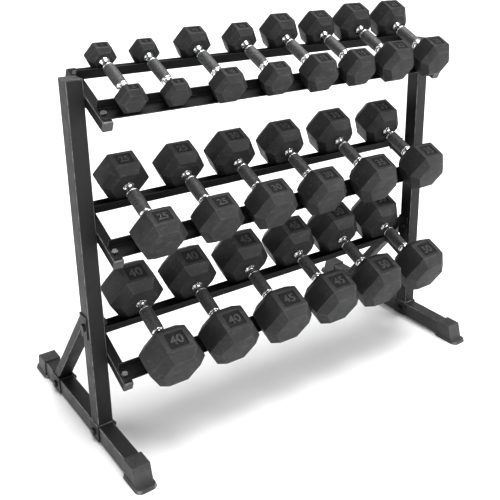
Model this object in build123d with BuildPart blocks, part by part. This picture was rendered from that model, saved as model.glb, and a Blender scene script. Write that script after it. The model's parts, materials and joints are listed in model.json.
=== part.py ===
"""Three-tier dumbbell rack with ten pairs of hexagonal dumbbells.

Millimetres. +X runs along the rails to the right, -Y is the front, +Z is up.
The origin is on the floor, at the centre of the two feet. Each tier is a pair of angle
rails on two sloping arms, and the dumbbell heads stand astride the rails' inner lips.
"""

import os
from math import cos, radians, sin, sqrt

from build123d import *

os.makedirs("parts", exist_ok=True)

# ---- frame ----
RACK_HEIGHT = 930
INNER_WIDTH = 1036  # between the two uprights
UPRIGHT_WIDTH = 40
UPRIGHT_DEPTH = 45
UPRIGHT_Y = -88  # the uprights stand forward of the middle of their feet
TUBE_WALL = 2
TUBE_CORNER = 4
UPRIGHT_CAP = 3
LID_SPIGOT = 15  # into the upright's bore
LID_CHAMFER = 0.8

# ---- feet ----
FOOT_LENGTH = 616  # over the tops of the two end caps
FOOT_WIDTH = 40
FOOT_HEIGHT = 45
SOLE = 4  # rubber under the beam
CAP_LENGTH = 47
CAP_WALL = 3
CAP_SPLAY = 12  # how far the cap's end wall leans out on its way down
FLANGE_REACH = 33  # beyond the cap's top
FLANGE_WIDTH = 55
FLANGE_HEIGHT = 9
FLANGE_HEEL = 12  # behind the cap
FLANGE_ROUND = 16
FLANGE_DRAFT = 18  # degrees
RIB_COUNT = 9
RIB_HEIGHT = 0.8
RIB_INSET = 3  # short of the cap's two ends

# ---- brackets and braces ----
PLATE = 3
UPRIGHT_SADDLE = 50
BRACE_SADDLE = 56
FLAP_DROP = 44
FLAP_ROUND = 4  # at the flaps' lower corners
BEND = 2  # outside radius of the bent plates
BRACE_WIDTH = 40
BRACE_DEPTH = 25
BRACE_FOOT_Y = 176
BRACE_TOP_Z = 334
BRACKET_Z = 324
BRACKET_HEIGHT = 62
BRACKET_FLAP = 36  # how far the flaps wrap round the upright
BRACKET_ROUND = 5

# ---- tiers ----
SLOPE = 25  # degrees, down to the front
LOWEST_TIER = 255  # arm tops at the middle of the uprights
TIER_PITCH = 323
ARM = 25
ARM_FRONT = -120
ARM_REAR = 80
PLUG_HEAD = 4
PLUG_DRAFT = 12  # degrees
PLUG_DEPTH = 12  # inside the arm
RAIL_LENGTH = 1028
RAIL_LEG = 40
RAIL_LIP = 25
RAIL_THICK = 2.5
LIP_ROUND = 1
LIP_SPAN = 116  # over the outsides of the two lips
TRAY_MIDDLE = -19  # middle of the two lips, measured along the slope

# ---- fasteners ----
FRAME_BOLT = 10
RAIL_BOLT = 8
HEX_SHARE = 0.85  # half the width across the flats, as a share of the thread size
FRAME_HEAD = 6
FRAME_NUT = 8
RAIL_HEAD = 5
RAIL_NUT = 6
BOLT_GAP = 0.3  # round the shank in its holes
THREAD_GAP = 0.05  # round the shank in its nut
THREAD_END = 3  # shank beyond the nut

# ---- dumbbells: weight in lb, across the flats, head length, grip radius ----
SIZES = {
    5: (62, 42, 13.5),
    10: (79, 56, 14.5),
    15: (90, 69, 15),
    20: (102, 76, 15.5),
    25: (110, 83, 16),
    30: (117, 88, 16),
    35: (120, 95, 16.5),
    40: (129, 104, 16.5),
    45: (135, 105, 17),
    50: (140, 107, 17),
}
# weight and X of each dumbbell on a tier, from left to right
TIERS = {
    "bottom": ((40, -406), (40, -245), (45, -78), (45, 92), (50, 259), (50, 435)),
    "middle": ((25, -415), (25, -259), (30, -105), (30, 60), (35, 241), (35, 430)),
    "top": ((5, -447), (5, -339), (10, -209), (10, -72), (15, 55), (15, 183), (20, 311), (20, 454)),
}
HANDLE_LENGTH = 123  # between the two heads
NECK_LENGTH = 24
NECK_STEP = 2.5  # the neck is this much thinner than the grip
SHOULDER = 3  # length of the cone between them
GRIP_BARREL = 0.8
HEAD_CLEAR = 1  # from the front lip
REST_GAP = 0.2
CHAMFER_SHARE = 0.16  # of the width across the flats
PANEL_DEPTH = 2
PANEL_WIDTH = 0.66  # of the facet
PANEL_LENGTH = 0.72  # of the facet
PANEL_CORNER = 2
SPIGOT = 26  # handle end inside the head

# ---- worked out ----
BEAM_TOP = SOLE + FOOT_HEIGHT
BEAM_MIDDLE = SOLE + FOOT_HEIGHT / 2
UPRIGHT_FOOT = BEAM_TOP + PLATE
UPRIGHT_TOP = RACK_HEIGHT - UPRIGHT_CAP
SIDE_X = (INNER_WIDTH + UPRIGHT_WIDTH) / 2
ARM_X = (INNER_WIDTH - ARM) / 2
FRONT_LIP = TRAY_MIDDLE - LIP_SPAN / 2  # front face of the front lip
BACK_LIP = TRAY_MIDDLE + LIP_SPAN / 2  # rear face of the back lip
DUMBBELL_Y = FRONT_LIP - HEAD_CLEAR + HANDLE_LENGTH / 2
FRONT_LEG = FRONT_LIP - (RAIL_LEG - RAIL_THICK) / 2
BACK_LEG = BACK_LIP + (RAIL_LEG - RAIL_THICK) / 2
SIDES = {"left": -1, "right": 1}
SADDLES = ((UPRIGHT_Y, UPRIGHT_SADDLE), (BRACE_FOOT_Y, BRACE_SADDLE))
BRACE_FOOT = Vector(BRACE_FOOT_Y, UPRIGHT_FOOT)
BRACE_TOP = Vector(UPRIGHT_Y + UPRIGHT_DEPTH / 2 + PLATE, BRACE_TOP_Z)
BRACE_LINE = (BRACE_TOP - BRACE_FOOT).normalized()
UP_SLOPE = (0, cos(radians(SLOPE)), sin(radians(SLOPE)))
DOWN_SLOPE = (0, -cos(radians(SLOPE)), -sin(radians(SLOPE)))
TRAY_NORMAL = (0, -sin(radians(SLOPE)), cos(radians(SLOPE)))


def save(piece, name):
    """Label a finished piece and write it as its own STEP file."""
    piece.part.label = name
    export_step(piece.part, f"parts/{name}.step")


def tray(tier):
    """Plane of a tier's arm tops: local x along the rails, y up the slope, z off the tray."""
    z = LOWEST_TIER + TIER_PITCH * list(TIERS).index(tier)
    return Plane(origin=(0, UPRIGHT_Y, z), x_dir=(1, 0, 0), z_dir=TRAY_NORMAL)


def tube_outline(width, depth, wall):
    """Sketch of a rectangular tube's section."""
    RectangleRounded(width, depth, TUBE_CORNER)
    RectangleRounded(width - 2 * wall, depth - 2 * wall, TUBE_CORNER - wall, mode=Mode.SUBTRACT)


def channel_outline(inside, flap):
    """Sketch of a bent plate's section: a web across the top with a flap down each side."""
    top = (Align.CENTER, Align.MAX)
    Rectangle(inside + 2 * PLATE, flap + PLATE, align=top)
    Rectangle(inside, flap + PLATE, align=top, mode=Mode.SUBTRACT)
    Rectangle(inside + 2 * PLATE, PLATE, align=top)


# ---------------------------------------------------------------- frame
def make_upright(name, side):
    """Vertical tube, drilled across for the brace bracket's bolt."""
    with BuildPart() as upright:
        with BuildSketch(Plane.XY.offset(UPRIGHT_FOOT)):
            with Locations((side * SIDE_X, UPRIGHT_Y)):
                tube_outline(UPRIGHT_WIDTH, UPRIGHT_DEPTH, TUBE_WALL)
        extrude(amount=UPRIGHT_TOP - UPRIGHT_FOOT)
        with BuildSketch(Plane.YZ.offset(side * SIDE_X)):
            with Locations((UPRIGHT_Y, BRACKET_Z)):
                Circle(FRAME_BOLT / 2 + BOLT_GAP)
        extrude(amount=UPRIGHT_WIDTH, both=True, mode=Mode.SUBTRACT)
    save(upright, name)


def make_foot_beam(name, side):
    """Front-to-rear tube, drilled across for the two saddles' bolts."""
    with BuildPart() as beam:
        with BuildSketch(Plane.XZ.offset(-(FOOT_LENGTH / 2 - CAP_WALL))):
            with Locations((side * SIDE_X, BEAM_MIDDLE)):
                tube_outline(FOOT_WIDTH, FOOT_HEIGHT, TUBE_WALL)
        extrude(amount=FOOT_LENGTH - 2 * CAP_WALL)
        with BuildSketch(Plane.YZ.offset(side * SIDE_X)):
            with Locations((UPRIGHT_Y, BEAM_MIDDLE), (BRACE_FOOT_Y, BEAM_MIDDLE)):
                Circle(FRAME_BOLT / 2 + BOLT_GAP)
        extrude(amount=FOOT_WIDTH, both=True, mode=Mode.SUBTRACT)
    save(beam, name)


def brace_outline(depth, overrun):
    """Four-sided side view of the brace, cut level at the foot and upright at the top."""
    half_level = Vector(depth / 2 / BRACE_LINE.Y, 0)
    half_plumb = Vector(0, depth / 2 / -BRACE_LINE.X)
    stretch = BRACE_LINE * overrun
    corners = (
        BRACE_FOOT - half_level - stretch,
        BRACE_FOOT + half_level - stretch,
        BRACE_TOP + half_plumb + stretch,
        BRACE_TOP - half_plumb + stretch,
    )
    Polygon(*[(corner.X, corner.Y) for corner in corners], align=None)


def make_brace(name, side):
    """Sloping tube from the rear of the foot up to the back of the upright."""
    slope = Axis((0, 0, 0), (0, BRACE_LINE.X, BRACE_LINE.Y))
    with BuildPart() as brace:
        with BuildSketch(Plane.YZ.offset(side * SIDE_X)):
            brace_outline(BRACE_DEPTH, 0)
        extrude(amount=BRACE_WIDTH / 2, both=True)
        fillet(brace.edges().filter_by(slope), TUBE_CORNER)
        with BuildSketch(Plane.YZ.offset(side * SIDE_X)):
            brace_outline(BRACE_DEPTH - 2 * TUBE_WALL, TUBE_WALL)
        extrude(amount=BRACE_WIDTH / 2 - TUBE_WALL, both=True, mode=Mode.SUBTRACT)
    save(brace, name)


def make_saddles():
    """Bent plates astride each foot beam, under the upright and under the brace."""
    with BuildPart() as saddles:
        for side in SIDES.values():
            for y, length in SADDLES:
                with BuildSketch(Plane.XZ.offset(-(y + length / 2))):
                    with Locations((side * SIDE_X, UPRIGHT_FOOT)):
                        channel_outline(FOOT_WIDTH, FLAP_DROP)
                extrude(amount=length)
                with BuildSketch(Plane.YZ.offset(side * SIDE_X)):
                    with Locations((y, BEAM_MIDDLE)):
                        Circle(FRAME_BOLT / 2 + BOLT_GAP)
                extrude(amount=FOOT_WIDTH, both=True, mode=Mode.SUBTRACT)
        fillet(saddles.edges().filter_by(Axis.X).group_by(Axis.Z)[0], FLAP_ROUND)
        fillet(saddles.edges().filter_by(Axis.Y).group_by(Axis.Z)[-1], BEND)
    save(saddles, "foot_saddles")


def make_brace_brackets():
    """Bent plates that wrap the back of each upright and carry the brace's top end."""
    back = UPRIGHT_Y + UPRIGHT_DEPTH / 2
    with BuildPart() as brackets:
        for side in SIDES.values():
            with BuildSketch(Plane.XY.offset(BRACKET_Z - BRACKET_HEIGHT / 2)):
                with Locations((side * SIDE_X, back + PLATE)):
                    channel_outline(UPRIGHT_WIDTH, BRACKET_FLAP)
            extrude(amount=BRACKET_HEIGHT)
            with BuildSketch(Plane.YZ.offset(side * SIDE_X)):
                with Locations((UPRIGHT_Y, BRACKET_Z)):
                    Circle(FRAME_BOLT / 2 + BOLT_GAP)
            extrude(amount=UPRIGHT_WIDTH, both=True, mode=Mode.SUBTRACT)
        fillet(brackets.edges().filter_by(Axis.X).group_by(Axis.Y)[0], BRACKET_ROUND)
        fillet(brackets.edges().filter_by(Axis.Z).group_by(Axis.Y)[-1], BEND)
    save(brackets, "brace_brackets")


def make_foot_caps():
    """Ribbed rubber end caps with a splayed end wall on a flange with a rounded toe."""
    top = BEAM_TOP + CAP_WALL
    heel = FOOT_LENGTH / 2 - CAP_LENGTH
    toe = FOOT_LENGTH / 2 + FLANGE_REACH
    width = FOOT_WIDTH + 2 * CAP_WALL
    with BuildPart() as caps:
        for side in SIDES.values():
            for end in (-1, 1):
                outward = Plane(origin=(side * SIDE_X, 0, 0), x_dir=(0, end, 0), z_dir=(end, 0, 0))
                with BuildSketch(outward):
                    Polygon(
                        (heel, 0),
                        (FOOT_LENGTH / 2 + CAP_SPLAY, 0),
                        (FOOT_LENGTH / 2 + CAP_SPLAY, FLANGE_HEIGHT),
                        (FOOT_LENGTH / 2, top),
                        (heel, top),
                        align=None,
                    )
                extrude(amount=width / 2, both=True)
                with BuildSketch(Plane.XY):
                    with Locations((side * SIDE_X, end * (heel - FLANGE_HEEL + toe) / 2)):
                        RectangleRounded(FLANGE_WIDTH, toe - heel + FLANGE_HEEL, FLANGE_ROUND)
                extrude(amount=FLANGE_HEIGHT, taper=FLANGE_DRAFT)
                with BuildSketch(Plane.XZ.offset(-end * heel)):
                    with Locations((side * SIDE_X, BEAM_MIDDLE)):
                        Rectangle(FOOT_WIDTH, FOOT_HEIGHT)
                extrude(amount=end * -(CAP_LENGTH - CAP_WALL), mode=Mode.SUBTRACT)
                with BuildSketch(Plane.XZ.offset(-end * (heel - FLANGE_HEEL))):
                    with Locations((side * SIDE_X, SOLE)):
                        Rectangle(FOOT_WIDTH, FOOT_HEIGHT, align=(Align.CENTER, Align.MIN))
                extrude(amount=end * -FLANGE_HEEL, mode=Mode.SUBTRACT)
                with BuildSketch(Plane.XY.offset(top)):
                    with Locations((side * SIDE_X, end * (heel + CAP_LENGTH / 2))):
                        with GridLocations(width / RIB_COUNT, 1, RIB_COUNT, 1):
                            Rectangle(width / RIB_COUNT / 2, CAP_LENGTH - 2 * RIB_INSET)
                extrude(amount=RIB_HEIGHT)
    save(caps, "foot_caps")


def make_upright_caps():
    """Flat lids with a spigot inside the top of each upright."""
    bore_width = UPRIGHT_WIDTH - 2 * TUBE_WALL
    bore_depth = UPRIGHT_DEPTH - 2 * TUBE_WALL
    with BuildPart() as caps:
        with BuildSketch(Plane.XY.offset(UPRIGHT_TOP)):
            with Locations((-SIDE_X, UPRIGHT_Y), (SIDE_X, UPRIGHT_Y)):
                RectangleRounded(UPRIGHT_WIDTH, UPRIGHT_DEPTH, TUBE_CORNER)
        extrude(amount=UPRIGHT_CAP)
        chamfer(caps.edges().group_by(Axis.Z)[-1], LID_CHAMFER)
        with BuildSketch(Plane.XY.offset(UPRIGHT_TOP)):
            with Locations((-SIDE_X, UPRIGHT_Y), (SIDE_X, UPRIGHT_Y)):
                RectangleRounded(bore_width, bore_depth, TUBE_CORNER - TUBE_WALL)
        extrude(amount=-LID_SPIGOT)
    save(caps, "upright_caps")


# ---------------------------------------------------------------- tiers
def arm_bolt_places():
    """Where the rail bolts stand on a tray: x along the rails, y up the slope."""
    return [(x, y) for x in (-ARM_X, ARM_X) for y in (FRONT_LEG, BACK_LEG)]


def make_arms():
    """Sloping tubes welded to the inner faces of the uprights."""
    with BuildPart() as arms:
        for tier in TIERS:
            plane = tray(tier)
            rear = plane.from_local_coords((0, ARM_REAR, -ARM / 2))
            with BuildSketch(Plane(rear, x_dir=(1, 0, 0), z_dir=DOWN_SLOPE)):
                with Locations((-ARM_X, 0), (ARM_X, 0)):
                    tube_outline(ARM, ARM, TUBE_WALL)
            extrude(amount=ARM_REAR - ARM_FRONT)
            with BuildSketch(plane):
                with Locations(*arm_bolt_places()):
                    Circle(RAIL_BOLT / 2 + BOLT_GAP)
            extrude(amount=-ARM, mode=Mode.SUBTRACT)
    save(arms, "tray_arms")


def make_arm_plugs():
    """Plastic plugs in both ends of every arm."""
    bore = ARM - 2 * TUBE_WALL
    with BuildPart() as plugs:
        for tier in TIERS:
            for end, outward in ((ARM_FRONT, DOWN_SLOPE), (ARM_REAR, UP_SLOPE)):
                middle = tray(tier).from_local_coords((0, end, -ARM / 2))
                face = Plane(middle, x_dir=(1, 0, 0), z_dir=outward)
                with BuildSketch(face):
                    with Locations((-ARM_X, 0), (ARM_X, 0)):
                        RectangleRounded(ARM, ARM, TUBE_CORNER)
                extrude(amount=PLUG_HEAD, taper=PLUG_DRAFT)
                with BuildSketch(face):
                    with Locations((-ARM_X, 0), (ARM_X, 0)):
                        RectangleRounded(bore, bore, TUBE_CORNER - TUBE_WALL)
                extrude(amount=-PLUG_DEPTH)
    save(plugs, "arm_plugs")


def make_rail(tier, name, lip, outward):
    """Angle rail: a lip along its inner edge and a flat leg that runs outward from it.

    lip is the lip's outer face and outward is +1 up the slope or -1 down it.
    """
    plane = tray(tier)
    end = plane.from_local_coords((-RAIL_LENGTH / 2, lip, 0))
    heel = -outward * RAIL_THICK
    toe = outward * (RAIL_LEG - RAIL_THICK)
    with BuildPart() as rail:
        with BuildSketch(Plane(end, x_dir=UP_SLOPE, z_dir=(1, 0, 0))):
            Polygon(
                (heel, 0),
                (toe, 0),
                (toe, RAIL_THICK),
                (0, RAIL_THICK),
                (0, RAIL_LIP),
                (heel, RAIL_LIP),
                align=None,
            )
        extrude(amount=RAIL_LENGTH)
        with BuildSketch(plane):
            with Locations((-ARM_X, lip + toe / 2), (ARM_X, lip + toe / 2)):
                Circle(RAIL_BOLT / 2 + BOLT_GAP)
        extrude(amount=RAIL_THICK, mode=Mode.SUBTRACT)
        fillet(rail.edges().filter_by(Axis.X).group_by(Axis.Z)[-1], LIP_ROUND)
    save(rail, name)


# ---------------------------------------------------------------- fasteners
def make_frame_bolts():
    """Bolts across the saddles and the brace brackets, each with its nut."""
    reach = UPRIGHT_WIDTH / 2 + PLATE
    places = ((UPRIGHT_Y, BEAM_MIDDLE), (BRACE_FOOT_Y, BEAM_MIDDLE), (UPRIGHT_Y, BRACKET_Z))
    with BuildPart() as bolts:
        for side in SIDES.values():
            for y, z in places:
                head_at = (side * (SIDE_X + reach), y, z)
                nut_at = (side * (SIDE_X - reach), y, z)
                seat = Plane(head_at, x_dir=(0, 1, 0), z_dir=(side, 0, 0))
                far_seat = Plane(nut_at, x_dir=(0, 1, 0), z_dir=(-side, 0, 0))
                with BuildSketch(seat):
                    RegularPolygon(FRAME_BOLT * HEX_SHARE, 6, major_radius=False)
                extrude(amount=FRAME_HEAD)
                with BuildSketch(far_seat):
                    RegularPolygon(FRAME_BOLT * HEX_SHARE, 6, major_radius=False)
                    Circle(FRAME_BOLT / 2 + THREAD_GAP, mode=Mode.SUBTRACT)
                extrude(amount=FRAME_NUT)
                with BuildSketch(seat):
                    Circle(FRAME_BOLT / 2)
                extrude(amount=-(2 * reach + FRAME_NUT + THREAD_END))
    save(bolts, "frame_bolts")


def make_rail_bolts():
    """Bolts down through each rail end and its arm, each with its nut."""
    with BuildPart() as bolts:
        for tier in TIERS:
            plane = tray(tier)
            for x, y in arm_bolt_places():
                head_at = plane.from_local_coords((x, y, RAIL_THICK))
                nut_at = plane.from_local_coords((x, y, -ARM))
                seat = Plane(head_at, x_dir=(1, 0, 0), z_dir=plane.z_dir)
                under = Plane(nut_at, x_dir=(1, 0, 0), z_dir=-plane.z_dir)
                with BuildSketch(seat):
                    RegularPolygon(RAIL_BOLT * HEX_SHARE, 6, major_radius=False)
                extrude(amount=RAIL_HEAD)
                with BuildSketch(under):
                    RegularPolygon(RAIL_BOLT * HEX_SHARE, 6, major_radius=False)
                    Circle(RAIL_BOLT / 2 + THREAD_GAP, mode=Mode.SUBTRACT)
                extrude(amount=RAIL_NUT)
                with BuildSketch(seat):
                    Circle(RAIL_BOLT / 2)
                extrude(amount=-(RAIL_THICK + ARM + RAIL_NUT + THREAD_END))
    save(bolts, "rail_bolts")


# ---------------------------------------------------------------- dumbbells
def cradle(tier, weight, x):
    """Plane at a dumbbell's centre as it rests: y is its axis, z is off the tray."""
    flats, _, grip = SIZES[weight]
    on_leg = RAIL_THICK + flats / 2
    on_lips = RAIL_LIP + grip - NECK_STEP
    height = max(on_leg, on_lips) + REST_GAP
    plane = tray(tier)
    middle = plane.from_local_coords((x, DUMBBELL_Y, height))
    return Plane(middle, x_dir=(1, 0, 0), z_dir=plane.z_dir)


def head_face(centre, direction):
    """Plane of a head's inner end, facing away from the handle."""
    middle = centre.from_local_coords((0, direction * HANDLE_LENGTH / 2, 0))
    return Plane(middle, x_dir=(1, 0, 0), z_dir=centre.y_dir * direction)


def make_heads(name, centre, weight):
    """Both heads: chamfered hexagonal blocks with a sunk panel in the top facet."""
    flats, length, grip = SIZES[weight]
    slant = CHAMFER_SHARE * flats
    panel_width = PANEL_WIDTH * flats / sqrt(3)
    panel_length = PANEL_LENGTH * (length - 2 * slant)
    inner_faces = [head_face(centre, direction) for direction in (-1, 1)]
    with BuildPart() as heads:
        for face in inner_faces:
            with BuildSketch(face):
                RegularPolygon(flats / 2, 6, major_radius=False)
            extrude(amount=length)
        ends = heads.faces().filter_by(Axis((0, 0, 0), centre.y_dir))
        chamfer(ends.edges(), slant)
        for direction in (-1, 1):
            middle = direction * (HANDLE_LENGTH + length) / 2
            top = centre.from_local_coords((0, middle, flats / 2))
            with BuildSketch(Plane(top, x_dir=(1, 0, 0), z_dir=centre.z_dir)):
                RectangleRounded(panel_width, panel_length, PANEL_CORNER)
            extrude(amount=-PANEL_DEPTH, mode=Mode.SUBTRACT)
        for face in inner_faces:
            with BuildSketch(face):
                Circle(grip - NECK_STEP)
            extrude(amount=SPIGOT, mode=Mode.SUBTRACT)
    save(heads, name)


def make_handle(name, centre, weight):
    """Steel handle: plain necks, rounded shoulders and a slightly barrelled grip."""
    grip = SIZES[weight][2]
    neck = grip - NECK_STEP
    end = HANDLE_LENGTH / 2 + SPIGOT
    shoulder = HANDLE_LENGTH / 2 - NECK_LENGTH
    with BuildPart() as handle:
        with BuildSketch(Plane(centre.origin, x_dir=(1, 0, 0), z_dir=centre.z_dir)):
            with BuildLine():
                Polyline((0, -end), (neck, -end), (neck, -shoulder - SHOULDER), (grip, -shoulder))
                ThreePointArc((grip, -shoulder), (grip + GRIP_BARREL, 0), (grip, shoulder))
                Polyline((grip, shoulder), (neck, shoulder + SHOULDER), (neck, end), (0, end))
                Line((0, end), (0, -end))
            make_face()
        revolve(axis=Axis(centre.origin, centre.y_dir))
    save(handle, name)


def make_dumbbell(tier, place, weight, x):
    """One dumbbell as it rests on its tier: a node of two heads and a node for the handle."""
    centre = cradle(tier, weight, x)
    name = f"{tier}_{place}_dumbbell_{weight}"
    make_heads(f"{name}_heads", centre, weight)
    make_handle(f"{name}_handle", centre, weight)


# ---------------------------------------------------------------- build
for side_name, side_sign in SIDES.items():
    make_upright(f"{side_name}_upright", side_sign)
    make_foot_beam(f"{side_name}_foot_beam", side_sign)
    make_brace(f"{side_name}_brace", side_sign)
make_saddles()
make_brace_brackets()
make_foot_caps()
make_upright_caps()
make_arms()
make_arm_plugs()
for tier_name in TIERS:
    make_rail(tier_name, f"{tier_name}_front_rail", FRONT_LIP, -1)
    make_rail(tier_name, f"{tier_name}_back_rail", BACK_LIP, 1)
make_frame_bolts()
make_rail_bolts()
for tier_name, row in TIERS.items():
    for number, (pounds, where) in enumerate(row, start=1):
        make_dumbbell(tier_name, number, pounds, where)
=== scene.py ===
"""Look of the loaded dumbbell rack: finishes, rubber heads, knurled handles, welds and light.

Metres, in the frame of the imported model: +X along the rails, -Y the front, +Z up.
"""

import json
from math import atan2, cos, pi, radians, sin, sqrt, tan

import bmesh
import bpy
from mathutils import Matrix, Vector

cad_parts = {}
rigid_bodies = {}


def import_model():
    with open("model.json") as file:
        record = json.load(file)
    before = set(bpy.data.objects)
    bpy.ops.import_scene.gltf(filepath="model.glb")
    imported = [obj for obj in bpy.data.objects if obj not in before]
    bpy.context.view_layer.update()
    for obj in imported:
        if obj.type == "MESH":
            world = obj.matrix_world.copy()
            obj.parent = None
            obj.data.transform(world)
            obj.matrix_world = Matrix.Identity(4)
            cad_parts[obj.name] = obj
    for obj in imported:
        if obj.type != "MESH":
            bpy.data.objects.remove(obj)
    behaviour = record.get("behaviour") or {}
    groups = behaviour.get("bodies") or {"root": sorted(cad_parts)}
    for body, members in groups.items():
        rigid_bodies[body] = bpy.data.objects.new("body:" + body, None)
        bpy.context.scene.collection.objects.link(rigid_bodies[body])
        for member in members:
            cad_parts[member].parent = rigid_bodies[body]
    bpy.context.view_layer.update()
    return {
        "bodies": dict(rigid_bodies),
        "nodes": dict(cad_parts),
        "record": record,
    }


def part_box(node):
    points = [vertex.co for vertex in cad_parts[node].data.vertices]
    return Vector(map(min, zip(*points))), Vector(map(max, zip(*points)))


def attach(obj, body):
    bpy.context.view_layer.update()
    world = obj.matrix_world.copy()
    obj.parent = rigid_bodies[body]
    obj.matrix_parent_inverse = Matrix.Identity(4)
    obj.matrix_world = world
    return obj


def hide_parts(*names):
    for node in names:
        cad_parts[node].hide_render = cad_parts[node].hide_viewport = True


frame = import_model()

MM = 0.001

# ---- sizes shared with the frame ----
SLOPE = radians(25)  # of the trays, down to the front
HANDLE_LENGTH = 123 * MM  # between the two heads
NECK_LENGTH = 24 * MM
NECK_STEP = 2.5 * MM  # the neck is this much thinner than the grip
GRIP_BARREL = 0.8 * MM
SHOULDER = 3 * MM  # length of the cone between grip and neck
CHAMFER_SHARE = 0.16  # of the width across the flats
ARM = 25 * MM  # width of the arms' square tube

# ---- rubber heads ----
HEAD_ROUND = 1.8 * MM  # along every edge of a head
PANEL_WIDTH = 0.66  # of the facet
PANEL_LENGTH = 0.72  # of the facet
PANEL_CORNER = 3.5 * MM
PANEL_DEPTH = 2 * MM
NUMERAL_WIDTH = 0.74  # of the panel, at most
NUMERAL_HEIGHT = 0.56  # of the panel, at most
NUMERAL_RAISE = 1.3 * MM
NUMERAL_ROUND = 0.25 * MM
NUMERAL_WEIGHT = 0.018  # how far the strokes are thickened, of the height of the type

# ---- handles ----
KNURL_COUNT = 64  # points round the grip
KNURL_HEIGHT = 0.4 * MM  # half of what a point stands out
KNURL_MARGIN = 3 * MM  # groove and rim between the knurl and the shoulder
GROOVE = 0.7 * MM  # depth
RIM = 0.2 * MM  # how far it stands out of the grip
WAIST = 1.2 * MM  # how much the neck narrows between shoulder and collar
COLLAR = 2.2 * MM  # how far the bead beside the head stands out
COLLAR_WIDTH = 6 * MM
SPIGOT = 6 * MM  # how far the neck is carried into the head

# ---- welds ----
BEAD = 2.2 * MM  # radius
BEAD_SIDES = 8
RIPPLE_PITCH = 3 * MM
RIPPLE = 0.14  # of the bead's radius
TAIL = 0.45  # share of the radius left at the ends of an open bead
WELD_INSET = 2 * MM  # short of the upright's edges
WELD_OFFSET = 0.4 * MM  # from the upright's inner face to the middle of the bead

# ---- studio ----
FLOOR_SIZE = 40  # metres
HORIZON_GLOW = 1.15
OVERHEAD_GLOW = 0.2
GLOW_FADE = (0.26, 0.5)  # sine of the elevation where the glow starts and ends fading
# kind, name, place, what it points at, size (metres, or radians for the sun), power
LIGHTS = (
    ("SUN", "ceiling", (0.7, -0.5, 4), (0, 0, 0), radians(46), 3.9),
    ("AREA", "left", (-3.4, 0.2, 1.0), (0, 0, 0.4), 1.8, 16),
    ("AREA", "front_left", (-0.9, -3.6, 1.1), (0, 0, 0.4), 1.4, 34),
    ("AREA", "front_right", (2.6, -3.2, 1.3), (0, 0, 0.5), 2.0, 50),
)

# ---- camera ----
CAMERA_AT = (-1.13, -1.692, 1.262)
CAMERA_YAW = radians(38.85)  # from +Y towards +X
CAMERA_PITCH = radians(18.99)  # downwards
CAMERA_ROLL = radians(0.85)
CAMERA_LENS = 54.5  # millimetres on a 36 mm sensor
CAMERA_SHIFT = (-0.14, -0.14)


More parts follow.
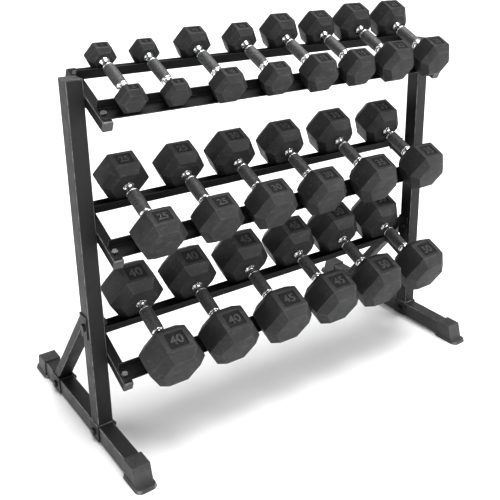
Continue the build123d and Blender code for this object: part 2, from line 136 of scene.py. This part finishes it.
# ---------------------------------------------------------------- materials
class Finish:
    """A material under construction: a principled shader with pattern nodes behind it."""

    # Each pair is the value on an edge, then on a flat face.
    CRISP = (0.9, 0.985)  # true normal times rounded normal
    CORNER = (0.82, 0.95)  # largest part of the normal

    def __init__(self, name, **shader_values):
        self.material = bpy.data.materials.new(name)
        self.material.use_nodes = True
        self.tree = self.material.node_tree
        self.shader = self.tree.nodes["Principled BSDF"]
        for socket, value in shader_values.items():
            self.shader.inputs[socket.replace("_", " ")].default_value = value
        self.place = self.tree.nodes.new("ShaderNodeTexCoord").outputs["Object"]

    def node(self, kind, values, **settings):
        """Add a node; each value is a constant or a socket to link from."""
        made = self.tree.nodes.new("ShaderNode" + kind)
        for name, setting in settings.items():
            setattr(made, name, setting)
        for socket, value in values.items():
            if isinstance(value, bpy.types.NodeSocket):
                self.tree.links.new(value, made.inputs[socket])
            else:
                made.inputs[socket].default_value = value
        return made

    def noise(self, scale, detail=3, roughness=0.55, stretch=(1, 1, 1)):
        """Noise from 0 to 1 with this many cells to the metre."""
        spot = self.node("Mapping", {"Vector": self.place, "Scale": stretch}).outputs[0]
        values = {"Vector": spot, "Scale": scale, "Detail": detail, "Roughness": roughness}
        return self.node("TexNoise", values).outputs["Fac"]

    def spread(self, value, low, high, to_low, to_high):
        """Map the range low..high of a value on to to_low..to_high, clamped."""
        values = {"Value": value, 1: low, 2: high, 3: to_low, 4: to_high}
        return self.node("MapRange", values).outputs[0]

    def patches(self, scale, detail=3, span=(0.3, 0.7), levels=(0, 1), stretch=(1, 1, 1)):
        """Noise with this span of its values mapped on to these levels, clamped."""
        return self.spread(self.noise(scale, detail, stretch=stretch), *span, *levels)

    def math(self, operation, a, b):
        """One step of arithmetic on two constants or sockets."""
        return self.node("Math", {0: a, 1: b}, operation=operation).outputs[0]

    def blend(self, share, a, b):
        """Colour a where the share is 0 and b where it is 1."""
        values = {"Factor": share, "A": a, "B": b}
        made = self.tree.nodes.new("ShaderNodeMix")
        made.data_type = "RGBA"
        for name, value in values.items():
            socket = [s for s in made.inputs if s.name == name and s.enabled][0]
            if isinstance(value, bpy.types.NodeSocket):
                self.tree.links.new(value, socket)
            else:
                socket.default_value = value
        return [s for s in made.outputs if s.enabled][0]

    def edges(self, radius, tilt=0.0):
        """0 on flat faces, rising to 1 along edges, and the rounded normal.

        Crisp edges are found by rounding them, and rounded corners by a normal that is
        square to none of the member's own faces; tilt is the member's lean about X.
        """
        rounded = self.node("Bevel", {"Radius": radius}, samples=6).outputs[0]
        geometry = self.node("NewGeometry", {}).outputs
        facing = self.node(
            "VectorMath", {0: rounded, 1: geometry["True Normal"]}, operation="DOT_PRODUCT"
        )
        crisp = self.spread(facing.outputs["Value"], *self.CRISP, 1, 0)
        local = self.node("TexCoord", {}).outputs["Normal"]
        upright = self.node(
            "VectorRotate", {"Vector": local, "Angle": -tilt}, rotation_type="X_AXIS"
        )
        size = self.node("VectorMath", {0: upright.outputs[0]}, operation="ABSOLUTE").outputs[0]
        parts = self.node("SeparateXYZ", {0: size}).outputs
        squarest = self.math("MAXIMUM", self.math("MAXIMUM", parts[0], parts[1]), parts[2])
        corner = self.spread(squarest, *self.CORNER, 1, 0)
        return self.math("MAXIMUM", crisp, corner), rounded

    def bump(self, height, strength, distance, normal=None):
        """A normal roughened by this height, on top of the given normal."""
        values = {"Height": height, "Strength": strength, "Distance": distance}
        if normal is not None:
            values["Normal"] = normal
        return self.node("Bump", values).outputs[0]

    def drive(self, **sockets):
        """Link sockets of the shader to what drives them."""
        for socket, source in sockets.items():
            self.tree.links.new(source, self.shader.inputs[socket.replace("_", " ")])
        return self.material


def grey(value, blue=1.03):
    """A grey with its blue raised by this factor."""
    return (value, value, value * blue, 1)


def powder_coat(name, tilt=0.0, wear_and_highlight_grey=0.2, roughness=0.47, grain=750, gloss=0.3):
    """Satin powder coat: fine orange peel, faint clouding and paler edges, partly scuffed paint
    and partly a painted highlight.

    The member leans by tilt about X, its paler edges (scuffing and a painted highlight) are this
    grey, and grain is the number of peel cells to the metre.
    """
    finish = Finish(name, Specular_IOR_Level=gloss)
    wear_and_highlight, rounded = finish.edges(1.3 * MM, tilt)
    specks = finish.patches(900, detail=2, span=(0.55, 0.75), levels=(0, 0.35))
    rub_and_highlight_patches = finish.patches(60, span=(0.35, 0.65), levels=(0.2, 0.85))
    colour = finish.blend(finish.patches(9, detail=4), grey(0.007), grey(0.012))
    colour = finish.blend(specks, colour, grey(0.026))
    # Paler edges: partly scuffed paint, partly a painted highlight along every edge.
    colour = finish.blend(finish.math("MULTIPLY", wear_and_highlight, rub_and_highlight_patches), colour, grey(wear_and_highlight_grey))
    rough = finish.patches(30, detail=5, levels=(roughness - 0.05, roughness + 0.07))
    peel = finish.noise(grain, detail=2, roughness=0.4)
    return finish.drive(
        Base_Color=colour,
        Roughness=rough,
        Normal=finish.bump(peel, 0.35, 0.12 * MM, rounded),
    )


def rubber_coat(name, dark, light, dusting):
    """Moulded rubber: matte, a little dusty, with a fine sand-cast skin."""
    finish = Finish(name, Specular_IOR_Level=0.3)
    dust = finish.patches(650, span=(0.56, 0.72), levels=(0, 0.5))
    smears = finish.patches(38, 6, span=(0.56, 0.7), levels=(0, 0.45), stretch=(1, 3, 3))
    colour = finish.blend(finish.patches(22, detail=5), grey(dark), grey(light))
    colour = finish.blend(dust, colour, grey(dusting))
    colour = finish.blend(smears, colour, grey(dusting))
    rough = finish.patches(45, detail=4, levels=(0.46, 0.64))
    skin = finish.math("ADD", finish.noise(1100, detail=3), finish.noise(260, detail=2))
    return finish.drive(
        Base_Color=colour, Roughness=rough, Normal=finish.bump(skin, 0.3, 0.14 * MM)
    )


def panel_rubber():
    """The sunk panel: a finer grain than the head, and blacker."""
    finish = Finish("panel_rubber", Specular_IOR_Level=0.25)
    return finish.drive(
        Base_Color=finish.blend(finish.patches(90, detail=4), grey(0.008), grey(0.015)),
        Roughness=finish.patches(300, levels=(0.62, 0.8)),
        Normal=finish.bump(finish.noise(1600, detail=2), 0.3, 0.1 * MM),
    )


def numeral_rubber():
    """The raised numerals, paler than their panel: partly rubbing, partly a painted highlight
    where they catch the light.
    """
    finish = Finish("numeral_rubber")
    # Paler numerals: partly rubbing, partly a painted highlight on the raised figures.
    rub_and_highlight = finish.patches(140, detail=4, span=(0.35, 0.65))
    return finish.drive(
        Base_Color=finish.blend(rub_and_highlight, grey(0.012), grey(0.037)),
        Roughness=finish.patches(300, levels=(0.4, 0.55)),
        Normal=finish.bump(finish.noise(900), 0.2, 0.1 * MM),
    )


def bright_steel(name, tone, roughness, scratch, stretch):
    """Plated steel with fine scratches drawn out along one direction."""
    finish = Finish(name, Metallic=1.0)
    tarnish = finish.patches(70, detail=5, span=(0.35, 0.7))
    colour = finish.blend(tarnish, grey(tone), grey(tone * 0.8, blue=1))
    streaks = finish.noise(900, detail=3, stretch=stretch)
    rough = finish.spread(streaks, 0.3, 0.7, roughness * 0.7, roughness * 1.5)
    return finish.drive(
        Base_Color=colour, Roughness=rough, Normal=finish.bump(streaks, scratch, 0.05 * MM)
    )


def knurled_steel():
    """The grip's dull plating, mottled with grime between the diamonds."""
    finish = Finish("knurled_steel", Metallic=1.0)
    grime = finish.patches(380, detail=5, span=(0.36, 0.64))
    return finish.drive(
        Base_Color=finish.blend(grime, grey(0.19), grey(0.065, blue=1)),
        Roughness=finish.patches(500, levels=(0.58, 0.76)),
        Normal=finish.bump(finish.noise(1400), 0.6, 0.15 * MM),
    )


def moulded_plastic():
    """Caps, plugs and lids: black nylon with a spark-eroded skin and pale edges, partly scuffed
    and partly a painted highlight that picks out the ribs.
    """
    finish = Finish("moulded_plastic", Specular_IOR_Level=0.4)
    wear_and_highlight, rounded = finish.edges(0.7 * MM)
    # Pale edges: scuffing, and a painted highlight that brings out the ribs.
    scuffs_and_highlight = finish.math("MULTIPLY", wear_and_highlight, finish.patches(120, levels=(0.25, 0.8)))
    colour = finish.blend(finish.patches(40, detail=4), grey(0.026), grey(0.042))
    return finish.drive(
        Base_Color=finish.blend(scuffs_and_highlight, colour, grey(0.17)),
        Roughness=finish.patches(200, levels=(0.42, 0.6)),
        Normal=finish.bump(finish.noise(700, detail=3), 0.35, 0.15 * MM, rounded),
    )


def studio_floor():
    """Seamless paper, white with the faintest mottle."""
    finish = Finish("studio_floor")
    mottle = finish.patches(6, detail=4)
    return finish.drive(
        Base_Color=finish.blend(mottle, grey(0.86, blue=1), grey(0.89, blue=1)),
        Roughness=finish.spread(mottle, 0, 1, 0.7, 0.8),
        Normal=finish.bump(finish.noise(400), 0.1, 0.2 * MM),
    )


PAINT = powder_coat("frame_powder_coat")
TRAY_PAINT = powder_coat("tray_powder_coat", tilt=SLOPE, gloss=0.17)
FOOT_PAINT = powder_coat("foot_powder_coat", gloss=0.62)
BOLT_BLACK = powder_coat("black_oxide", wear_and_highlight_grey=0.015, roughness=0.4, grain=1500)
RUBBER = rubber_coat("rubber_coat", dark=0.015, light=0.024, dusting=0.055)
# Paler rubber for the heads' rounded edges and the panel's rim: partly rubbing, partly a painted
# highlight.
RUBBED_AND_HIGHLIT = rubber_coat("rubbed_and_highlit_rubber", dark=0.015, light=0.04, dusting=0.085)
CHROME = bright_steel("chrome_neck", 0.85, roughness=0.2, scratch=0.05, stretch=(1, 0.05, 1))
KNURL = knurled_steel()
ZINC = bright_steel("zinc_bolt", 0.13, roughness=0.3, scratch=0.25, stretch=(1, 1, 0.2))
PLASTIC = moulded_plastic()
# A head's materials, by the index that its faces carry.
HEAD_MATERIALS = (RUBBER, RUBBED_AND_HIGHLIT, panel_rubber(), numeral_rubber())
RUBBED_AND_HIGHLIT_INDEX = 1  # along the edges, paler: partly rubbing, partly a painted highlight
PANEL_INDEX = 2
NUMERAL_INDEX = 3

# How far each piece of loose hardware has its edges rounded.
ROUNDED = {
    "frame_bolts": 0.9 * MM,
    "rail_bolts": 0.8 * MM,
    "foot_caps": 0.4 * MM,
    "arm_plugs": 0.5 * MM,
    "upright_caps": 0.9 * MM,
}

SLOT_MATERIALS = {
    "frame_paint": PAINT,
    "black_fasteners": BOLT_BLACK,
    "zinc_fasteners": ZINC,
    "black_plastic": PLASTIC,
    "head_coat": RUBBER,
    "handle_steel": CHROME,
}


# ---------------------------------------------------------------- mesh helpers
def piece(name, mesh, body, replaces=()):
    """Put a mesh in the scene as a piece of the object, riding on a body."""
    made = bpy.data.objects.new(name, mesh)
    bpy.context.scene.collection.objects.link(made)
    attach(made, body)
    if replaces:
        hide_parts(*replaces)
    return made


def moved_copy(mesh, matrix):
    made = mesh.copy()
    made.transform(matrix)
    return made


def finished(work, name, materials, crease):
    """The work as a smooth mesh, crisp along the edges sharper than the crease angle."""
    mesh = bpy.data.meshes.new(name)
    work.to_mesh(mesh)
    work.free()
    for material in materials:
        mesh.materials.append(material)
    mesh.shade_smooth()
    mesh.set_sharp_from_angle(angle=crease)
    return mesh


def ring_of(work, points):
    return [work.verts.new(point) for point in points]


def bridge(work, first, second, material_index=0):
    """Quads between two closed rings of the same number of vertices."""
    count = len(first)
    for i in range(count):
        j = (i + 1) % count
        face = work.faces.new((first[i], first[j], second[j], second[i]))
        face.material_index = material_index


def close_ends(work, rings):
    work.faces.new(rings[0])
    work.faces.new(rings[-1])


# ---------------------------------------------------------------- rubber heads
def rounded_rectangle(width, length, corner, height):
    """Points round a rectangle with round corners, anticlockwise from above."""
    steps = 5
    points = []
    for quarter, (sx, sy) in enumerate(((1, 1), (-1, 1), (-1, -1), (1, -1))):
        centre = Vector((sx * (width / 2 - corner), sy * (length / 2 - corner), height))
        for step in range(steps):
            angle = (quarter + step / (steps - 1)) * pi / 2
            points.append(centre + corner * Vector((cos(angle), sin(angle), 0)))
    return points


def hexagonal_block(flats, length):
    """A hexagonal prism along Y, chamfered at both ends, with every edge rounded."""
    slant = CHAMFER_SHARE * flats
    stations = (
        (-length / 2, flats / 2 - slant),
        (-length / 2 + slant, flats / 2),
        (length / 2 - slant, flats / 2),
        (length / 2, flats / 2 - slant),
    )
    work = bmesh.new()
    rings = []
    for y, apothem in stations:
        reach = apothem * 2 / sqrt(3)
        corners = [Vector((reach * cos(k * pi / 3), y, reach * sin(k * pi / 3))) for k in range(6)]
        rings.append(ring_of(work, corners))
    for first, second in zip(rings, rings[1:]):
        bridge(work, first, second)
    close_ends(work, rings)
    bmesh.ops.recalc_face_normals(work, faces=work.faces)
    bmesh.ops.bevel(
        work,
        geom=list(work.edges),
        offset=HEAD_ROUND,
        segments=3,
        profile=0.6,
        affect="EDGES",
        material=RUBBED_AND_HIGHLIT_INDEX,
    )
    return work


def sink_panel(work, flats, length):
    """Cut the numeral panel into the top facet, and give back its width and depth."""
    top = flats / 2
    facet = max(work.faces, key=lambda face: (round(face.normal.z, 3), face.calc_area()))
    rim = list(facet.edges)
    work.faces.remove(facet)
    width = PANEL_WIDTH * flats / sqrt(3)
    depth = PANEL_LENGTH * (length - 2 * CHAMFER_SHARE * flats)
    steps = (  # down the panel's side: how far in and how high
        (0, 0),
        (0.5 * MM, -0.15 * MM),
        (0.9 * MM, -0.6 * MM),
        (1.3 * MM, -1.6 * MM),
        (1.8 * MM, -PANEL_DEPTH),
    )
    rings = [
        ring_of(
            work,
            rounded_rectangle(width - 2 * inset, depth - 2 * inset, PANEL_CORNER - inset, top + z),
        )
        for inset, z in steps
    ]
    mouth = [
        work.edges.new((rings[0][i], rings[0][(i + 1) % len(rings[0])]))
        for i in range(len(rings[0]))
    ]
    bmesh.ops.triangle_fill(work, edges=rim + mouth, use_beauty=True, normal=(0, 0, 1))
    for first, second in zip(rings[1:], rings[2:]):
        bridge(work, first, second, PANEL_INDEX)
    # The panel's top rim gets the paler edge rubber: a painted highlight where the recess wall
    # catches the light.
    bridge(work, rings[0], rings[1], RUBBED_AND_HIGHLIT_INDEX)
    work.faces.new(rings[-1]).material_index = PANEL_INDEX
    bmesh.ops.recalc_face_normals(work, faces=work.faces)
    return width, depth


def numeral_mesh(text, width, depth):
    """Raised figures with rounded edges, to fit a panel, lying in the XY plane."""
    curve = bpy.data.curves.new("numeral", "FONT")
    curve.body = text
    curve.align_x = "CENTER"
    curve.align_y = "CENTER"
    curve.size = 1
    curve.offset = NUMERAL_WEIGHT
    curve.resolution_u = 4
    flat = bpy.data.objects.new("numeral", curve)
    bpy.context.scene.collection.objects.link(flat)
    bpy.context.view_layer.update()
    size = flat.dimensions
    scale = min(NUMERAL_WIDTH * width / size.x, NUMERAL_HEIGHT * depth / size.y)
    curve.extrude = NUMERAL_RAISE / 2 / scale
    curve.bevel_depth = NUMERAL_ROUND / scale
    curve.bevel_resolution = 1
    bpy.context.view_layer.update()
    evaluated = flat.evaluated_get(bpy.context.evaluated_depsgraph_get())
    mesh = bpy.data.meshes.new_from_object(evaluated)
    bpy.data.objects.remove(flat)
    points = [vertex.co for vertex in mesh.vertices]
    low = Vector(min(point[k] for point in points) for k in range(3))
    high = Vector(max(point[k] for point in points) for k in range(3))
    middle = (low + high) / 2
    mesh.transform(Matrix.Diagonal((scale, scale, scale, 1)) @ Matrix.Translation(-middle))
    return mesh


def heads_mesh(weight, flats, length):
    """Both heads of one dumbbell, about the middle of its handle."""
    one = hexagonal_block(flats, length)
    width, depth = sink_panel(one, flats, length)
    block_faces = len(one.faces)
    figures = numeral_mesh(str(weight), width, depth)
    lift = flats / 2 - PANEL_DEPTH + NUMERAL_RAISE / 2
    figures.transform(Matrix.Translation((0, 0, lift)))
    one.from_mesh(figures)
    one.faces.ensure_lookup_table()
    for face in one.faces[block_faces:]:
        face.material_index = NUMERAL_INDEX
    single = bpy.data.meshes.new("single_head")
    one.to_mesh(single)
    one.free()
    pair = bmesh.new()
    for end in (-1, 1):
        moved = single.copy()
        moved.transform(Matrix.Translation((0, end * (HANDLE_LENGTH + length) / 2, 0)))
        pair.from_mesh(moved)
        bpy.data.meshes.remove(moved)
    bpy.data.meshes.remove(single)
    bpy.data.meshes.remove(figures)
    return finished(pair, f"heads_{weight}", HEAD_MATERIALS, radians(32))


# ---------------------------------------------------------------- handles
def grip_profile(grip):
    """(distance from the middle, radius, knurled) along half a handle, from the middle out."""
    neck = grip - NECK_STEP
    shoulder = HANDLE_LENGTH / 2 - NECK_LENGTH
    pitch = 2 * pi * grip / KNURL_COUNT
    knurl_end = shoulder - KNURL_MARGIN
    rows = round(knurl_end / pitch)
    profile = []
    for row in range(rows + 1):
        along = knurl_end * row / rows
        barrel = GRIP_BARREL * (1 - (along / shoulder) ** 2)
        profile.append((along, grip + barrel - KNURL_HEIGHT, True))
    head = HANDLE_LENGTH / 2
    waist_start = shoulder + SHOULDER
    waist_length = NECK_LENGTH - SHOULDER - COLLAR_WIDTH
    turned = (
        # groove and rim
        (knurl_end + 0.5 * MM, grip - GROOVE),
        (knurl_end + 1.0 * MM, grip - 0.1 * MM),
        (shoulder - 0.8 * MM, grip + RIM),
        # shoulder, a little rounded
        (shoulder, grip),
        (shoulder + SHOULDER * 0.5, (grip + neck) / 2 + 0.5 * MM),
        (waist_start, neck),
        # waist
        (waist_start + waist_length * 0.4, neck - WAIST),
        (waist_start + waist_length * 0.75, neck - 0.7 * MM),
        # collar
        (head - COLLAR_WIDTH, neck + COLLAR * 0.4),
        (head - COLLAR_WIDTH * 0.75, neck + COLLAR * 0.85),
        (head - COLLAR_WIDTH * 0.45, neck + COLLAR),
        (head - COLLAR_WIDTH * 0.2, neck + COLLAR * 0.85),
        (head, neck + COLLAR * 0.4),
        (head + SPIGOT, neck + COLLAR * 0.4),
    )
    profile += [(along, radius, False) for along, radius in turned]
    return profile


def handle_mesh(weight, grip):
    """Turned handle along Y: a diamond-knurled grip between two chrome necks with collars."""
    half = grip_profile(grip)
    stations = [(-along, radius, knurled) for along, radius, knurled in reversed(half[1:])] + half
    work = bmesh.new()
    rings = []
    for row, (along, radius, knurled) in enumerate(stations):
        points = []
        for k in range(KNURL_COUNT):
            angle = 2 * pi * k / KNURL_COUNT
            tip = KNURL_HEIGHT * 2 if knurled and (row + k) % 2 else 0
            reach = radius + tip
            points.append(Vector((reach * cos(angle), along, reach * sin(angle))))
        rings.append(ring_of(work, points))
    for row, (first, second) in enumerate(zip(rings, rings[1:])):
        rough = stations[row][2] and stations[row + 1][2]
        bridge(work, first, second, 1 if rough else 0)
    close_ends(work, rings)
    bmesh.ops.recalc_face_normals(work, faces=work.faces)
    return finished(work, f"handle_{weight}", (CHROME, KNURL), radians(28))


# ---------------------------------------------------------------- dumbbells
def measured(node_name):
    """(middle, size) of a CAD node's box."""
    low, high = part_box(node_name)
    return (low + high) / 2, high - low


def head_length(body):
    """Length of one head, from the span of the CAD heads along the handle."""
    axis = Vector((0, cos(SLOPE), sin(SLOPE)))
    reach = [vertex.co @ axis for vertex in frame["nodes"][f"{body}_heads"].data.vertices]
    return (max(reach) - min(reach) - HANDLE_LENGTH) / 2


def dress_dumbbells():
    """Stand a detailed pair of heads and a knurled handle in for each dumbbell's plain ones."""
    heads, handles = {}, {}
    axis_tilt = Matrix.Rotation(SLOPE, 4, "X")
    for body in frame["bodies"]:
        if "_dumbbell_" not in body:
            continue
        weight = int(body.rsplit("_", 1)[1])
        middle, handle_size = measured(f"{body}_handle")
        _, heads_size = measured(f"{body}_heads")
        flats = heads_size.x * sqrt(3) / 2
        grip = handle_size.x / 2 - GRIP_BARREL
        if weight not in heads:
            heads[weight] = heads_mesh(weight, flats, head_length(body))
            handles[weight] = handle_mesh(weight, grip)
        placed = Matrix.Translation(middle) @ axis_tilt
        rubber = moved_copy(heads[weight], placed)
        steel = moved_copy(handles[weight], placed)
        piece(f"{body}_rubber", rubber, body, [f"{body}_heads"])
        piece(f"{body}_steel", steel, body, [f"{body}_handle"])


# ---------------------------------------------------------------- welds
def bead_mesh(name, path, closed):
    """A rippled weld bead along a path of straight runs."""
    ends = path[1:] + path[:1] if closed else path[1:]
    work = bmesh.new()
    for start, end in zip(path, ends):
        along = end - start
        count = max(6, round(along.length / RIPPLE_PITCH) * 4)  # four rings to a ripple
        turn = along.to_track_quat("Z", "Y").to_matrix()
        rings = []
        for step in range(count + 1):
            share = step / count
            wave = sin(share * along.length / RIPPLE_PITCH * 2 * pi + step)
            full = 1 if closed else min(1, 4 * share, 4 * (1 - share))
            radius = BEAD * (1 - RIPPLE + RIPPLE * wave) * (TAIL + (1 - TAIL) * full)
            spots = [
                start + along * share + turn @ Vector((cos(angle), sin(angle), 0)) * radius
                for angle in (2 * pi * k / BEAD_SIDES for k in range(BEAD_SIDES))
            ]
            rings.append(ring_of(work, spots))
        for first, second in zip(rings, rings[1:]):
            bridge(work, first, second)
        close_ends(work, rings)
    bmesh.ops.recalc_face_normals(work, faces=work.faces)
    return finished(work, name, (PAINT,), radians(50))


def weld_arms():
    """A bead above and below each arm where it meets its upright."""
    low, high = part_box("right_upright")
    middle_y = (low.y + high.y) / 2
    half = (high.y - low.y) / 2 - WELD_INSET
    bead_x = low.x - WELD_OFFSET
    for side_name, side in (("left", -1), ("right", 1)):
        for tier in ("bottom", "middle", "top"):
            leg_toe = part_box(f"{tier}_front_rail")[0]  # the rails lie flat on the arms
            arm_top = leg_toe.z + (middle_y - leg_toe.y) * tan(SLOPE)
            for place, drop in (("over", 0), ("under", -ARM / cos(SLOPE))):
                ends = [
                    Vector((side * bead_x, middle_y + y, arm_top + drop + y * tan(SLOPE)))
                    for y in (-half, half)
                ]
                name = f"{side_name}_{tier}_weld_{place}"
                piece(name, bead_mesh(name, ends, False), "rack")


def weld_feet():
    """A bead round the foot of each upright."""
    for side_name in ("left", "right"):
        low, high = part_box(f"{side_name}_upright")
        corners = [
            Vector((low.x, low.y, low.z)),
            Vector((high.x, low.y, low.z)),
            Vector((high.x, high.y, low.z)),
            Vector((low.x, high.y, low.z)),
        ]
        name = f"{side_name}_upright_weld"
        piece(name, bead_mesh(name, corners, True), "rack")


# ---------------------------------------------------------------- frame
def soften(node, width):
    """Round the sharp edges of a CAD node by a modifier."""
    rounding = node.modifiers.new("soften", "BEVEL")
    rounding.width = width
    rounding.segments = 2
    rounding.limit_method = "ANGLE"
    rounding.angle_limit = radians(32)
    rounding.use_clamp_overlap = False
    rounding.harden_normals = True


def dress_frame():
    """Give each CAD node that stays its finish, and soften the loose hardware."""
    low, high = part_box("left_brace")
    lean = atan2(high.y - low.y, high.z - low.z)
    # Members with a paint of their own in place of their slot's, by the end of the name.
    paints = {
        "_rail": TRAY_PAINT,
        "_arms": TRAY_PAINT,
        "_brace": powder_coat("brace_powder_coat", tilt=lean, gloss=0.2),
        "_foot_beam": FOOT_PAINT,
    }
    for row in frame["record"]["subparts"]:
        name = row["node"]
        own = [paint for ending, paint in paints.items() if name.endswith(ending)]
        finish = own[0] if own else SLOT_MATERIALS[row["material_slot"]]
        node = frame["nodes"][name]
        for place in node.material_slots:
            place.material = finish
        if name in ROUNDED:
            soften(node, ROUNDED[name])


# ---------------------------------------------------------------- studio
def add_floor():
    bpy.ops.mesh.primitive_plane_add(size=FLOOR_SIZE)
    floor = bpy.context.object
    floor.name = "floor"
    floor.data.materials.append(studio_floor())


def add_light(kind, name, at, target, size, power):
    """A square softbox size metres wide, or a soft sun size radians wide."""
    data = bpy.data.lights.new(name, kind)
    data.energy = power
    if kind == "AREA":
        data.shape = "SQUARE"
        data.size = size
    else:
        data.angle = size
    lamp = bpy.data.objects.new(name, data)
    lamp.location = at
    lamp.rotation_euler = (Vector(target) - Vector(at)).to_track_quat("-Z", "Y").to_euler()
    lamp.visible_camera = False
    bpy.context.scene.collection.objects.link(lamp)


def add_surround():
    """A world that is white at the horizon and dimmer overhead."""
    world = bpy.data.worlds.new("studio")
    world.use_nodes = True
    nodes, links = world.node_tree.nodes, world.node_tree.links
    direction = nodes.new("ShaderNodeTexCoord").outputs["Generated"]
    height = nodes.new("ShaderNodeSeparateXYZ")
    links.new(direction, height.inputs[0])
    fade = nodes.new("ShaderNodeMapRange")
    for socket, value in enumerate((*GLOW_FADE, HORIZON_GLOW, OVERHEAD_GLOW), start=1):
        fade.inputs[socket].default_value = value
    links.new(height.outputs["Z"], fade.inputs["Value"])
    sky = nodes["Background"]
    sky.inputs["Color"].default_value = (1, 1, 1, 1)
    links.new(fade.outputs[0], sky.inputs["Strength"])
    bpy.context.scene.world = world


def add_studio():
    """Floor, surround and soft lights round the front, with the tones of a catalogue picture."""
    add_floor()
    add_surround()
    for light in LIGHTS:
        add_light(*light)
    bpy.context.scene.view_settings.view_transform = "Standard"
    bpy.context.scene.view_settings.look = "Medium High Contrast"


def add_camera():
    data = bpy.data.cameras.new("camera")
    data.lens = CAMERA_LENS
    data.shift_x, data.shift_y = CAMERA_SHIFT
    camera = bpy.data.objects.new("camera", data)
    camera.matrix_world = (
        Matrix.Translation(CAMERA_AT)
        @ Matrix.Rotation(-CAMERA_YAW, 4, "Z")
        @ Matrix.Rotation(pi / 2 - CAMERA_PITCH, 4, "X")
        @ Matrix.Rotation(CAMERA_ROLL, 4, "Z")
    )
    bpy.context.scene.collection.objects.link(camera)
    bpy.context.scene.camera = camera


dress_frame()
dress_dumbbells()
weld_arms()
weld_feet()
add_studio()
add_camera()
